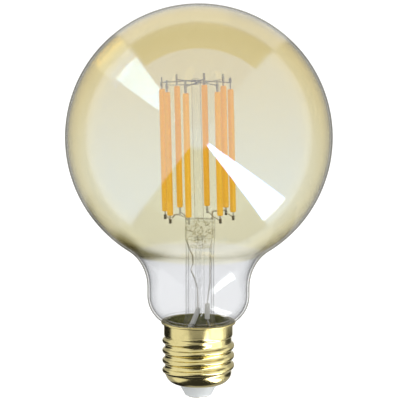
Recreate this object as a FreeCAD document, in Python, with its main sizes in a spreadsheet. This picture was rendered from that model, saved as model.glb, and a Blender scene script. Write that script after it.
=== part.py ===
import FreeCAD, Part
import math
import os

import Sketcher

# A lamp with eight lit strips in a round blown globe, on a rolled screw cap.
# Lengths are in millimetres. The axis is +Z, and the origin is the middle of
# the centre contact's face, where the lamp meets the spring of its holder.

DRIVING_SIZES = {
    # Centre contact and insulator
    "contact_radius": 3.9,
    "contact_thickness": 0.4,
    "contact_pin_radius": 0.9,
    "insulator_face_radius": 4.3,
    "insulator_rounding": 0.7,
    "insulator_height": 4.3,
    "insulator_flange_radius": 8.6,
    "insulator_flange_thickness": 1.3,
    # Screw cap
    "shell_wall": 0.4,
    "shell_mouth_radius": 7.2,
    "taper_radius": 4.6,
    "thread_crest_radius": 13.05,
    "thread_root_radius": 12.05,
    "thread_pitch": 3.629,
    "thread_lift": 3.13,
    "thread_full_turns": 3.5,
    "thread_lead_in": 0.1,
    "thread_run_out": 0.4,
    "skirt_radius": 12.45,
    "skirt_lift": 1.47,
    "skirt_step": 0.7,
    "skirt_length": 5.7,
    "rim_radius": 13.45,
    "rim_thickness": 0.9,
    "cement_thickness": 0.55,
    "cement_depth": 3.7,
    # Blown globe
    "globe_radius": 47.75,
    "glass_wall": 0.8,
    "neck_blend_radius": 17.0,
    "neck_radius": 18.4,
    "neck_length": 3.13,
    "shoulder_depth": 9.1,
    "shoulder_overhang": 2.18,
    "seal_tube_radius": 11.4,
    "seal_tube_depth": 4.1,
    # Glass mount: flared tube with its pinched end, pumping tube and rod
    "flare_rim_radius": 11.25,
    "flare_rim_thickness": 0.8,
    "flare_height": 7.4,
    "flare_wall": 0.8,
    "flare_tube_radius": 5.1,
    "flare_tube_length": 23.8,
    "squeeze_length": 3.6,
    "pinch_length": 6.6,
    "pinch_width": 10.8,
    "pinch_thickness": 3.8,
    "pumping_tube_radius": 1.6,
    "pumping_tube_wall": 0.5,
    "pumping_tip_clearance": 9.0,
    "pumping_hole_radius": 1.2,
    "rod_radius": 1.6,
    "rod_over_wires": 1.3,
    "rod_end_rounding": 0.7,
    "mount_offset": 0.5,
    "cluster_offset": 0.2,
    "cluster_lean": 1.55,
    # Lit strips and their end tabs
    "strip_ring_radius": 12.5,
    "strip_radius": 1.1,
    "strip_end_rounding": 0.35,
    "strip_lift": 2.6,
    "strip_length": 44.1,
    "strip_angle_first": 39.0,
    "strip_angle_second": 76.5,
    "strip_angle_third": 123.5,
    "strip_angle_fourth": 167.0,
    "strip_angle_fifth": 215.0,
    "strip_angle_sixth": 253.0,
    "strip_angle_seventh": 307.0,
    "strip_angle_eighth": 347.0,
    "tab_width": 0.8,
    "tab_thickness": 0.25,
    "top_tab_length": 4.3,
    "foot_tab_length": 2.7,
    # Wires
    "top_wire_radius": 0.2,
    "top_wire_inset": 1.9,
    "top_wire_spacing": 0.5,
    "foot_wire_radius": 0.2,
    "foot_wire_inset": 1.0,
    "lead_radius": 0.28,
    "lead_bend": 1.4,
    "lead_rise": 0.75,
    "lead_rest": 1.0,
    "lead_sealed_below": 1.0,
    "lead_sealed_above": 0.3,
    "left_lead_offset": 4.9,
    "right_lead_offset": 4.4,
    "sleeve_radius": 0.9,
    "sleeve_bore_radius": 0.42,
    # Driver board in the cap
    "board_clearance": 0.7,
    "board_thickness": 1.2,
    "capacitor_radius": 2.5,
    "capacitor_height": 7.0,
    "rectifier_length": 4.7,
    "rectifier_width": 3.9,
    "rectifier_height": 2.5,
    "chip_length": 4.9,
    "chip_width": 3.9,
    "chip_height": 1.5,
    "resistor_radius": 1.2,
    "resistor_length": 6.0,
    "resistor_lead_radius": 0.3,
    "shell_wire_radius": 0.25,
    "shell_wire_rise": 2.0,
    # Clearances
    "seat_gap": 0.2,
    "slip_gap": 0.05,
}

STRIP_NAMES = ("first", "second", "third", "fourth", "fifth", "sixth", "seventh", "eighth")
# Each of the four top wires joins a strip to the one across the ring.
OPPOSITE_STRIPS = (("fifth", "first"), ("sixth", "second"), ("seventh", "third"), ("fourth", "eighth"))

doc = FreeCAD.newDocument("globe_bulb")
sheet = doc.addObject("Spreadsheet::Sheet", "Sizes")
for row, (alias, length) in enumerate(DRIVING_SIZES.items(), start=1):
    sheet.set(f"A{row}", alias)
    sheet.set(f"B{row}", str(length))
    sheet.setAlias(f"B{row}", alias)
doc.recompute()

pieces = []


class Size:
    """A length with the formula that ties it to the sheet."""

    def __init__(self, value, formula):
        self.value = value
        self.formula = formula

    def joined(self, sign, other, value):
        return Size(value, f"({self.formula} {sign} {as_size(other).formula})")

    def __add__(self, other):
        return self.joined("+", other, self.value + as_size(other).value)

    def __sub__(self, other):
        return self.joined("-", other, self.value - as_size(other).value)

    def __mul__(self, other):
        return self.joined("*", other, self.value * as_size(other).value)

    def __truediv__(self, other):
        return self.joined("/", other, self.value / as_size(other).value)


def as_size(value):
    """A plain number as a size with itself as its formula."""
    return value if isinstance(value, Size) else Size(float(value), repr(float(value)))


def size(alias):
    """The driving size in the sheet's cell with this alias."""
    return Size(float(sheet.get(alias)), f"Sizes.{alias}")


def leg(hypotenuse, side):
    """The third side of a right-angled triangle."""
    square = hypotenuse * hypotenuse - side * side
    return Size(math.sqrt(square.value), f"sqrt({square.formula})")


def bind(thing, name, length):
    """Sets a property to a size and ties it to the sheet."""
    thing.setExpression(name, length.formula)


def keep(piece, label):
    """Names a finished piece after its file and lists it for the export."""
    piece.Label = label
    pieces.append(piece)
    return piece


def draw_outline(sketch, corners, arcs=None):
    """Closes an outline through corners, each across and up from the origin.

    arcs maps a side's number to the centre, radius and turn of its arc, where
    the turn is 1 for an arc that runs anticlockwise and -1 for the other way.
    """
    arcs = arcs or {}
    sides = []
    points = [(as_size(across), as_size(up)) for across, up in corners]
    for number, begin in enumerate(points):
        end = points[(number + 1) % len(points)]
        if number not in arcs:
            start = FreeCAD.Vector(begin[0].value, begin[1].value, 0)
            finish = FreeCAD.Vector(end[0].value, end[1].value, 0)
            sides.append((sketch.addGeometry(Part.LineSegment(start, finish), False), 1, 2))
            continue
        across, up, radius, turn = arcs[number]
        middle = FreeCAD.Vector(as_size(across).value, as_size(up).value, 0)
        angles = [math.atan2(p[1].value - middle.y, p[0].value - middle.x) for p in (begin, end)]
        first, last = angles if turn > 0 else reversed(angles)
        circle = Part.Circle(middle, FreeCAD.Vector(0, 0, 1), as_size(radius).value)
        arc = sketch.addGeometry(Part.ArcOfCircle(circle, first, last), False)
        sides.append((arc, 1, 2) if turn > 0 else (arc, 2, 1))
    for (side, _, far_end), (following, next_end, _) in zip(sides, sides[1:] + sides[:1]):
        sketch.addConstraint(Sketcher.Constraint("Coincident", side, far_end, following, next_end))
    for number, (side, begin_end, _) in enumerate(sides):
        across, up = points[number]
        place_corner(sketch, side, begin_end, "DistanceX", across, -2)
        place_corner(sketch, side, begin_end, "DistanceY", up, -1)
        if number not in arcs:
            continue
        middle_across, middle_up, arc_radius, turn = arcs[number]
        radius = as_size(arc_radius)
        far = points[(number + 1) % len(points)]
        chord = math.hypot(far[0].value - across.value, far[1].value - up.value)
        if math.isclose(chord, radius.value * 2):
            # A half circle on an upright chord is held by its centre.
            place_corner(sketch, side, 3, "DistanceX", as_size(middle_across), -2)
        else:
            held = sketch.addConstraint(Sketcher.Constraint("Radius", side, radius.value))
            bind(sketch, f"Constraints[{held}]", radius)


def place_corner(sketch, side, end, kind, distance, axis):
    """Holds one corner at a distance from the origin, or on the axis where that is zero."""
    if distance.value == 0.0:
        sketch.addConstraint(Sketcher.Constraint("PointOnObject", side, end, axis))
        return
    held = sketch.addConstraint(Sketcher.Constraint(kind, -1, 1, side, end, distance.value))
    bind(sketch, f"Constraints[{held}]", distance)


def new_body(name):
    return doc.addObject("PartDesign::Body", name)


def new_sketch(body, name, plane):
    """A sketch on one of the body's own origin planes."""
    sketch = body.newObject("Sketcher::SketchObject", name)
    support = next(part for part in body.Origin.OriginFeatures if part.Role == plane)
    sketch.AttachmentSupport = (support, [""])
    sketch.MapMode = "FlatFace"
    return sketch


def turned_body(name, corners, arcs=None):
    """A body turned about the axis from an outline of radius and height."""
    body = new_body(name)
    sketch = new_sketch(body, name + "_outline", "XZ_Plane")
    draw_outline(sketch, corners, arcs)
    turned = body.newObject("PartDesign::Revolution", name + "_turned")
    turned.Profile = sketch
    turned.ReferenceAxis = (sketch, ["V_Axis"])
    turned.Angle = 360.0
    sketch.Visibility = False
    return body


def circle_sketch(body, name, radius, height):
    """A circle about the axis at a height."""
    sketch = new_sketch(body, name, "XY_Plane")
    bind(sketch, "AttachmentOffset.Base.z", as_size(height))
    circle = Part.Circle(FreeCAD.Vector(0, 0, 0), FreeCAD.Vector(0, 0, 1), radius.value)
    sketch.addGeometry(circle, False)
    sketch.addConstraint(Sketcher.Constraint("Coincident", 0, 3, -1, 1))
    held = sketch.addConstraint(Sketcher.Constraint("Radius", 0, radius.value))
    bind(sketch, f"Constraints[{held}]", radius)
    return sketch


def padded_circle(body, name, radius, bottom, length):
    """A round bar about the axis."""
    sketch = circle_sketch(body, name + "_circle", radius, bottom)
    pad = body.newObject("PartDesign::Pad", name)
    pad.Profile = sketch
    bind(pad, "Length", length)
    return pad


def round_rims(body, feature, name, radius):
    """Rounds every round rim of a feature."""
    doc.recompute()
    rims = []
    for number, edge in enumerate(feature.Shape.Edges, start=1):
        if isinstance(edge.Curve, Part.Circle) and edge.isClosed():
            rims.append(f"Edge{number}")
    fillet = body.newObject("PartDesign::Fillet", name)
    fillet.Base = (feature, rims)
    bind(fillet, "Radius", radius)
    return fillet


def block(name, length, width, height, middle, bottom):
    """A box that stands on bottom with its middle at a place seen from above."""
    box = doc.addObject("Part::Box", name)
    bind(box, "Length", length)
    bind(box, "Width", width)
    bind(box, "Height", height)
    corner = (middle[0] - length.value / 2, middle[1] - width.value / 2, bottom.value)
    box.Placement = FreeCAD.Placement(FreeCAD.Vector(*corner), FreeCAD.Rotation())
    return box


def bent_path(points, bend):
    """Straight runs through points, joined by tangent arcs of radius bend or less."""
    edges = []
    start = points[0]
    for before, corner, after in zip(points, points[1:], points[2:]):
        run_in = corner - before
        run_out = after - corner
        turn = run_in.getAngle(run_out)
        reach = 0.45 * min(run_in.Length, run_out.Length)
        radius = min(bend, reach / math.tan(turn / 2))
        setback = radius * math.tan(turn / 2)
        run_in.normalize()
        run_out.normalize()
        inward = run_out - run_in
        inward.normalize()
        begin = corner - run_in * setback
        middle = corner + inward * (radius / math.cos(turn / 2) - radius)
        end = corner + run_out * setback
        edges.append(Part.LineSegment(start, begin).toShape())
        edges.append(Part.Arc(begin, middle, end).toShape())
        start = end
    edges.append(Part.LineSegment(start, points[-1]).toShape())
    return Part.Wire(edges)


def round_bar(points, radius, bend):
    """A round wire along a bent path."""
    path = bent_path(points, bend)
    circle = Part.Circle(points[0], points[1] - points[0], radius)
    return path.makePipeShell([Part.Wire([circle.toShape()])], True, False)


def shape_piece(label, shape, placement=None):
    """A piece whose shape is worked out here, then placed."""
    piece = doc.addObject("Part::Feature", label)
    piece.Shape = shape
    if placement:
        piece.Placement = placement
    return keep(piece, label)


# Heights of the cap, each from the one below it
seat_gap = size("seat_gap")
slip_gap = size("slip_gap")
contact_top = size("contact_thickness")
shell_foot = contact_top + size("insulator_height")
taper_height = shell_foot + size("taper_radius")
flange_bottom = shell_foot + size("shell_wall") + seat_gap
insulator_top = flange_bottom + size("insulator_flange_thickness")
board_bottom = insulator_top + size("board_clearance")
board_top = board_bottom + size("board_thickness")
thread_start = shell_foot + size("thread_lift")
skirt_bottom = thread_start + size("thread_pitch") * size("thread_full_turns") + size("skirt_lift")
rim_height = skirt_bottom + size("skirt_length")

# Blown globe: sphere, blend, short neck, shoulder and seal tube, one wall
globe_radius = size("globe_radius")
glass_wall = size("glass_wall")
neck_radius = size("neck_radius")
blend_radius = size("neck_blend_radius")
seal_radius = size("seal_tube_radius")
seal_bottom = rim_height - size("seal_tube_depth")
shoulder_depth = size("shoulder_depth")
shoulder_end = rim_height + seat_gap
shoulder_height = shoulder_end + shoulder_depth
shoulder_reach = seal_radius + size("shoulder_overhang")
shoulder_width = neck_radius - shoulder_reach
shoulder_radius = (shoulder_width * shoulder_width + shoulder_depth * shoulder_depth) / (shoulder_width * 2)
shoulder_centre = neck_radius - shoulder_radius

blend_centre = neck_radius + blend_radius
centre_distance = globe_radius + blend_radius
blend_drop = leg(centre_distance, blend_centre)
blend_height = shoulder_height + size("neck_length")
globe_height = blend_height + blend_drop


def touch_point(radius):
    """Where the globe's arc of this radius meets the blend's arc."""
    across = blend_centre * radius / centre_distance
    up = globe_height - blend_drop * radius / centre_distance
    return across, up


inner_globe = globe_radius - glass_wall
inner_blend = blend_radius + glass_wall
inner_neck = neck_radius - glass_wall
inner_shoulder = shoulder_radius - glass_wall
inner_seal = seal_radius - glass_wall
inner_turn_in = shoulder_end + glass_wall
inner_reach = shoulder_centre + leg(inner_shoulder, shoulder_height - inner_turn_in)
globe_corners = [
    (0, globe_height + globe_radius),
    touch_point(globe_radius),
    (neck_radius, blend_height),
    (neck_radius, shoulder_height),
    (shoulder_reach, shoulder_end),
    (seal_radius, shoulder_end),
    (seal_radius, seal_bottom),
    (inner_seal, seal_bottom),
    (inner_seal, inner_turn_in),
    (inner_reach, inner_turn_in),
    (inner_neck, shoulder_height),
    (inner_neck, blend_height),
    touch_point(inner_globe),
    (0, globe_height + inner_globe),
]
globe_arcs = {
    0: (0, globe_height, globe_radius, -1),
    1: (blend_centre, blend_height, blend_radius, 1),
    3: (shoulder_centre, shoulder_height, shoulder_radius, -1),
    9: (shoulder_centre, shoulder_height, inner_shoulder, 1),
    11: (blend_centre, blend_height, inner_blend, -1),
    12: (0, globe_height, inner_globe, 1),
}
keep(turned_body("globe", globe_corners, globe_arcs), "globe_glass")

# Flared tube with its pinched end, which seals the two leads
mount_shift = FreeCAD.Placement(FreeCAD.Vector(size("mount_offset").value, 0, 0), FreeCAD.Rotation())
tube_radius = size("flare_tube_radius")
flare_wall = size("flare_wall")
mouth_height = seal_bottom + size("flare_height")
flare_rim_radius = size("flare_rim_radius")
rim_thickness = size("flare_rim_thickness")
tube_top = mouth_height + size("flare_tube_length")
pinch_bottom = tube_top + size("squeeze_length")
pinch_top = pinch_bottom + size("pinch_length")
flare_rim_bottom = seal_bottom - rim_thickness
flare_reach = flare_rim_radius - flare_wall * 2 - tube_radius
flare_fall = mouth_height - seal_bottom
flare_arc = (flare_reach * flare_reach + flare_fall * flare_fall) / (flare_reach * 2)
inner_flare_arc = flare_arc + flare_wall
flare_centre = tube_radius + flare_arc
inner_fall = mouth_height - flare_rim_bottom
inner_flare_end = flare_centre - leg(inner_flare_arc, inner_fall)
flare_corners = [
    (tube_radius, tube_top),
    (tube_radius, mouth_height),
    (tube_radius + flare_reach, seal_bottom),
    (flare_rim_radius, seal_bottom),
    (flare_rim_radius, flare_rim_bottom),
    (inner_flare_end, flare_rim_bottom),
    (tube_radius - flare_wall, mouth_height),
    (tube_radius - flare_wall, tube_top),
]
flare_arcs = {
    1: (flare_centre, mouth_height, flare_arc, 1),
    5: (flare_centre, mouth_height, inner_flare_arc, -1),
}
stem_body = turned_body("stem", flare_corners, flare_arcs)


def rounded_slot(body, name, width, thickness, height):
    """A slot with round ends across the axis, at a height."""
    sketch = new_sketch(body, name, "XY_Plane")
    bind(sketch, "AttachmentOffset.Base.z", height)
    half = thickness / 2
    run = (width - thickness) / 2
    back = run * -1
    corners = [(back, half * -1), (run, half * -1), (run, half), (back, half)]
    draw_outline(sketch, corners, {1: (run, 0, half, 1), 3: (back, 0, half, 1)})
    return sketch


pinch = (size("pinch_width"), size("pinch_thickness"))
squeeze = stem_body.newObject("PartDesign::AdditiveLoft", "stem_squeeze")
squeeze.Profile = circle_sketch(stem_body, "stem_tube_end", tube_radius, tube_top)
squeeze.Sections = [rounded_slot(stem_body, "stem_pinch_start", *pinch, pinch_bottom)]
pinched = stem_body.newObject("PartDesign::Pad", "stem_pinch")
pinched.Profile = rounded_slot(stem_body, "stem_pinch_section", *pinch, pinch_bottom)
bind(pinched, "Length", pinch_top - pinch_bottom)
doc.recompute()

# The pumping hole runs up from the tube and out of the front of the pinch.
hole_radius = size("pumping_hole_radius")
hole_height = pinch_bottom + hole_radius
pumping_radius = size("pumping_tube_radius")
pumping_wall = size("pumping_tube_wall")
pumping_bore = pumping_radius - pumping_wall
channel = stem_body.newObject("PartDesign::Pocket", "stem_channel")
channel.Profile = circle_sketch(stem_body, "stem_channel_circle", pumping_bore, tube_top)
channel.Reversed = True
bind(channel, "Length", hole_height - tube_top)
doc.recompute()
side_sketch = new_sketch(stem_body, "stem_side_hole_circle", "XZ_Plane")
side_circle = Part.Circle(FreeCAD.Vector(0, hole_height.value, 0), FreeCAD.Vector(0, 0, 1), hole_radius.value)
side_sketch.addGeometry(side_circle, False)
side_sketch.addConstraint(Sketcher.Constraint("PointOnObject", 0, 3, -2))
up_held = side_sketch.addConstraint(Sketcher.Constraint("DistanceY", -1, 1, 0, 3, hole_height.value))
bind(side_sketch, f"Constraints[{up_held}]", hole_height)
wide_held = side_sketch.addConstraint(Sketcher.Constraint("Radius", 0, hole_radius.value))
bind(side_sketch, f"Constraints[{wide_held}]", hole_radius)
side_hole = stem_body.newObject("PartDesign::Pocket", "stem_side_hole")
side_hole.Profile = side_sketch
side_hole.Reversed = True
bind(side_hole, "Length", pinch[1])
stem_body.Placement = mount_shift

# Leads, from the driver board through the pinch to a strip's foot tab
ring_radius = size("strip_ring_radius").value
tab_thickness = size("tab_thickness")
tab_face = ring_radius - tab_thickness.value / 2
strip_lift = size("strip_lift").value
strip_foot = pinch_top + size("strip_lift")
foot_length = size("foot_tab_length")
foot_wire_radius = size("foot_wire_radius").value
foot_wire_height = (strip_foot - foot_length + size("foot_wire_inset")).value
lead_radius = size("lead_radius").value
lead_bend = size("lead_bend").value
left_lead_offset = size("left_lead_offset").value
right_lead_offset = size("right_lead_offset").value

# From a tab to the pinch: across and back in ring radii, up in strip lifts
LEFT_BRANCH = ((-0.69, -0.39, 0.85), (-0.584, -0.208, 0.73))
RIGHT_BRANCH = ((0.576, 0.4, 0.81), (0.4, 0.176, 0.92))
# From the pinch to the board: across and back in tube radii, up as a share
LEFT_SLACK = (
    (-0.745, -0.08, 0.93),
    (-0.51, -0.41, 0.888),
    (-0.49, -0.49, 0.824),
    (-0.63, -0.41, 0.779),
    (-0.37, -0.51, 0.718),
    (-0.167, -0.55, 0.648),
    (-0.127, -0.54, 0.481),
    (-0.47, -0.51, 0.391),
    (-0.88, -0.55, 0.317),
    (-1.02, -0.55, 0.215),
    (-1.02, -0.55, 0.0),
)
RIGHT_SLACK = (
    (0.725, 0.0, 0.93),
    (0.716, -0.06, 0.675),
    (0.55, -0.294, 0.558),
    (0.53, -0.314, 0.411),
    (0.843, -0.39, 0.317),
    (1.02, -0.43, 0.215),
    (1.02, -0.43, 0.0),
)


def spoke(name, reach, height):
    """A point at a strip's angle, at a distance from the axis."""
    angle = math.radians(size("strip_angle_" + name).value)
    return FreeCAD.Vector(reach * math.cos(angle), reach * math.sin(angle), height)


lean = FreeCAD.Placement(
    FreeCAD.Vector(size("cluster_offset").value, 0, 0),
    FreeCAD.Rotation(FreeCAD.Vector(0, -1, 0), size("cluster_lean").value),
    FreeCAD.Vector(0, 0, pinch_top.value),
)
seat_height = foot_wire_height + size("lead_rise").value
tab_rest = tab_face - size("lead_rest").value
pinch_foot = (pinch_bottom - size("lead_sealed_below")).value
pinch_head = (pinch_top + size("lead_sealed_above")).value


def on_mount(across, deep, up):
    """A point given from the glass mount's own axis."""
    return mount_shift.multVec(FreeCAD.Vector(across, deep, up))


def branch(places):
    """Points over the pinch, from shares of the ring and the strips' lift."""
    return [FreeCAD.Vector(across * ring_radius, deep * ring_radius, pinch_top.value + up * strip_lift)
            for across, deep, up in places]


def slack(places):
    """Points between the pinch and the board, from shares of the tube and the way down."""
    reach = tube_radius.value
    rise = pinch_foot - board_top.value
    return [on_mount(across * reach, deep * reach, board_top.value + up * rise) for across, deep, up in places]


left_slack = slack(LEFT_SLACK)
right_slack = slack(RIGHT_SLACK)
left_lead_points = [
    lean.multVec(spoke("fifth", tab_face, seat_height)),
    lean.multVec(spoke("fifth", tab_rest, seat_height)),
    *branch(LEFT_BRANCH),
    on_mount(-left_lead_offset, 0, pinch_head),
    on_mount(-left_lead_offset, 0, pinch_foot),
    *left_slack,
]
right_lead_points = [
    lean.multVec(spoke("first", tab_face, seat_height)),
    lean.multVec(spoke("first", tab_rest, seat_height)),
    *branch(RIGHT_BRANCH),
    on_mount(right_lead_offset, 0, pinch_head),
    on_mount(right_lead_offset, 0, pinch_foot),
    *right_slack,
]
left_lead = shape_piece("lead_wire_left", round_bar(left_lead_points, lead_radius, lead_bend))
right_lead = shape_piece("lead_wire_right", round_bar(right_lead_points, lead_radius, lead_bend))
leads = doc.addObject("Part::Compound", "both_leads")
leads.Links = [left_lead, right_lead]
stem_glass = doc.addObject("Part::Cut", "stem_around_leads")
stem_glass.Base = stem_body
stem_glass.Tool = leads
keep(stem_glass, "stem_flare")

# Sleeves over the leads where they leave the flare
sleeve_radius = size("sleeve_radius").value
sleeve_bore = size("sleeve_bore_radius").value


def sleeve(label, points):
    """A slit-free sleeve along a stretch of a lead."""
    outside = round_bar(points, sleeve_radius, lead_bend)
    inside = round_bar(points, sleeve_bore, lead_bend)
    return shape_piece(label, outside.cut(inside))


def between(start, end, share):
    return start + (end - start) * share


sleeve("lead_sleeve_left", [between(left_slack[6], left_slack[5], 0.1)] + left_slack[6:10]
       + [between(left_slack[9], left_slack[10], 0.45)])
sleeve("lead_sleeve_right", [between(right_slack[2], right_slack[3], 0.2),
                             between(right_slack[2], right_slack[3], 0.98)])

# Pumping tube, drawn to a closed tip
tip_height = board_top + size("pumping_tip_clearance")
tip_centre = tip_height + pumping_radius
pumping_corners = [
    (pumping_radius, tube_top),
    (pumping_radius, tip_centre),
    (0, tip_height),
    (0, tip_height + pumping_wall),
    (pumping_bore, tip_centre),
    (pumping_bore, tube_top),
]
pumping_arcs = {
    1: (0, tip_centre, pumping_radius, -1),
    3: (0, tip_centre, pumping_bore, 1),
}
pumping_tube = turned_body("pumping_tube", pumping_corners, pumping_arcs)
pumping_tube.Placement = mount_shift
keep(pumping_tube, "exhaust_tube")

# Top wires, each through the rod to two tabs across the ring
strip_top = strip_foot + size("strip_length")
top_length = size("top_tab_length")
top_wire_level = strip_top + top_length - size("top_wire_inset")
top_wire_radius = size("top_wire_radius").value
top_wire_height = top_wire_level.value
top_wires = []
for number, (left_strip, right_strip) in enumerate(OPPOSITE_STRIPS):
    crossing = top_wire_height + size("top_wire_spacing").value * (number - 1.5)
    route = [
        spoke(left_strip, tab_face, top_wire_height),
        FreeCAD.Vector(0, 0, crossing),
        spoke(right_strip, tab_face, top_wire_height),
    ]
    bar = round_bar(route, top_wire_radius, size("rod_radius").value)
    top_wires.append(shape_piece(f"top_wire_{number + 1}", bar, lean))

# Glass rod that carries them
rod_body = new_body("rod")
rod_foot = pinch_top + slip_gap
rod_length = top_wire_level + size("rod_over_wires") - rod_foot
rod_bar = padded_circle(rod_body, "rod_bar", size("rod_radius"), rod_foot, rod_length)
doc.recompute()
rod_end = rod_body.newObject("PartDesign::Fillet", "rod_end")
top_rims = []
for number, edge in enumerate(rod_bar.Shape.Edges, start=1):
    if edge.BoundBox.ZMin > top_wire_height:
        top_rims.append(f"Edge{number}")
rod_end.Base = (rod_bar, top_rims)
bind(rod_end, "Radius", size("rod_end_rounding"))
rod_body.Placement = lean
wires = doc.addObject("Part::Compound", "all_top_wires")
wires.Links = top_wires
rod_glass = doc.addObject("Part::Cut", "rod_around_wires")
rod_glass.Base = rod_body
rod_glass.Tool = wires
keep(rod_glass, "stem_rod")

# Lit strips with a tab at each end
tab_width = size("tab_width")


def tab(label, angle, bottom, height):
    """A flat tab whose broad side faces the axis."""
    plate = block(label, tab_thickness, tab_width, height, (ring_radius, 0), bottom)
    spin = FreeCAD.Placement(FreeCAD.Vector(), FreeCAD.Rotation(FreeCAD.Vector(0, 0, 1), angle))
    plate.Placement = lean.multiply(spin).multiply(plate.Placement)
    return keep(plate, label)


for number, name in enumerate(STRIP_NAMES, start=1):
    angle = size("strip_angle_" + name).value
    strip_body = new_body(f"strip_{number}")
    bar = padded_circle(strip_body, f"strip_{number}_bar", size("strip_radius"), strip_foot,
                        size("strip_length"))
    round_rims(strip_body, bar, f"strip_{number}_ends", size("strip_end_rounding"))
    stand = FreeCAD.Placement(spoke(name, ring_radius, 0), FreeCAD.Rotation())
    strip_body.Placement = lean.multiply(stand)
    keep(strip_body, f"filament_{number}")
    tab(f"filament_{number}_top_tab", angle, strip_top, top_length)
    tab(f"filament_{number}_foot_tab", angle, strip_foot - foot_length, foot_length)

# Foot wires: one between the side strips, one past the lead to front and back
foot_reach = tab_face - foot_wire_radius
mount_offset = size("mount_offset").value
past_leads = lead_radius + foot_wire_radius
for side, beside_lead, pair, cross_pair in (
    ("left", mount_offset - left_lead_offset + past_leads, ("fourth", "fifth"), ("third", "sixth")),
    ("right", mount_offset + right_lead_offset + past_leads, ("eighth", "first"), ("second", "seventh")),
):
    ends = [spoke(name, foot_reach, foot_wire_height) for name in pair]
    shape_piece(f"side_wire_{side}", round_bar(ends, foot_wire_radius, lead_bend), lean)
    back, front = [spoke(name, foot_reach, foot_wire_height) for name in cross_pair]
    crossing = FreeCAD.Vector(beside_lead, 0, pinch_top.value + foot_wire_radius * 2)
    route = [back, crossing, front]
    shape_piece(f"cross_wire_{side}", round_bar(route, foot_wire_radius, lead_bend), lean)

# Screw shell: one rolled wall with a round thread that fades out at each end
wall = size("shell_wall").value
crest_radius = size("thread_crest_radius").value
root_radius = size("thread_root_radius").value
skirt_radius = size("skirt_radius").value
skirt_step = size("skirt_step").value
pitch = size("thread_pitch").value
full_turns = size("thread_full_turns").value
lead_in = size("thread_lead_in").value
run_out = size("thread_run_out").value
taper_radius = size("taper_radius").value
taper_centre = root_radius - taper_radius
depth = crest_radius - root_radius
round_radius = ((pitch / 4) ** 2 + (depth / 2) ** 2) / depth
POINTS_PER_TURN = 60
POINTS_PER_PITCH = 14
SEAM_TOLERANCE = 0.002


def smooth_step(share):
    """0 below 0, 1 above 1, with a level start and end."""
    share = min(max(share, 0.0), 1.0)
    return share * share * (3 - 2 * share)


def ridge(turn, from_crest):
    """The ridge's height this far along the axis from its crest."""
    aside = abs(from_crest)
    if aside < pitch / 4:
        height = depth - round_radius + math.sqrt(round_radius ** 2 - aside ** 2)
    else:
        height = round_radius - math.sqrt(round_radius ** 2 - (pitch / 2 - aside) ** 2)
    rise = smooth_step((turn + lead_in) / (lead_in + run_out))
    fall = smooth_step((turn - full_turns) / run_out)
    return height * rise * (1 - fall)


def plain_radius(height, inset):
    """The shell's radius without its thread, inset from the outside."""
    arc = taper_radius - inset
    below = max(taper_height.value - height, 0.0)
    on_skirt = smooth_step((height - skirt_bottom.value) / skirt_step)
    return taper_centre + math.sqrt(arc ** 2 - below ** 2) + on_skirt * (skirt_radius - root_radius)


def helix_height(turn):
    """The crest's height after this many turns."""
    return thread_start.value + pitch * turn


def wall_radius(turn, height, inset):
    """The shell's radius at a share of a turn and a height, inset from the outside."""
    crest_turn = turn + round((height - thread_start.value) / pitch - turn)
    off_skirt = 1 - smooth_step((height - skirt_bottom.value) / skirt_step)
    return plain_radius(height, inset) + ridge(crest_turn, height - helix_height(crest_turn)) * off_skirt


thread_bottom = helix_height(-lead_in - 0.5)
thread_top = helix_height(full_turns + run_out + 0.5)
rows = round((thread_top - thread_bottom) / pitch * POINTS_PER_PITCH)


def threaded_bar(inset):
    """A solid bar with the shell's threaded surface, inset from the outside."""
    grid = []
    for row in range(rows + 1):
        height = thread_bottom + (thread_top - thread_bottom) * row / rows
        ring = []
        for step in range(POINTS_PER_TURN + 1):
            turn = (step % POINTS_PER_TURN) / POINTS_PER_TURN
            radius = wall_radius(turn, height, inset)
            across = radius * math.cos(2 * math.pi * turn)
            deep = radius * math.sin(2 * math.pi * turn)
            ring.append(FreeCAD.Vector(across, deep, height))
        grid.append(ring)
    surface = Part.BSplineSurface()
    surface.interpolate(grid)
    side = surface.toShape()
    ends = []
    for edge in side.Edges:
        if edge.BoundBox.ZLength < pitch / 100:
            ends.append(Part.Face(Part.Wire([edge])))
    shell = Part.Shell([side] + ends)
    shell.sewShape()
    return Part.Solid(shell)


def turned_shape(corners):
    """A ring turned about the axis from a list of edges' ends and arcs' middles."""
    edges = []
    for begin, middle, end in corners:
        points = [FreeCAD.Vector(across, 0, up) for across, up in (begin, end)]
        if middle is None:
            edges.append(Part.LineSegment(*points).toShape())
        else:
            through = FreeCAD.Vector(middle[0], 0, middle[1])
            edges.append(Part.Arc(points[0], through, points[1]).toShape())
    face = Part.Face(Part.Wire(edges))
    return face.revolve(FreeCAD.Vector(), FreeCAD.Vector(0, 0, 1), 360)


def taper_point(inset, height):
    """A point of the rounded taper, inset from the outside."""
    arc = taper_radius - inset
    return taper_centre + math.sqrt(arc ** 2 - (taper_height.value - height) ** 2), height


def taper_middle(inset):
    """A point between the taper's mouth and the thread's lower end."""
    arc = taper_radius - inset
    top_angle = math.asin((taper_height.value - thread_bottom) / arc)
    angle = (top_angle + math.pi / 2) / 2
    return taper_centre + arc * math.cos(angle), taper_height.value - arc * math.sin(angle)


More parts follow.
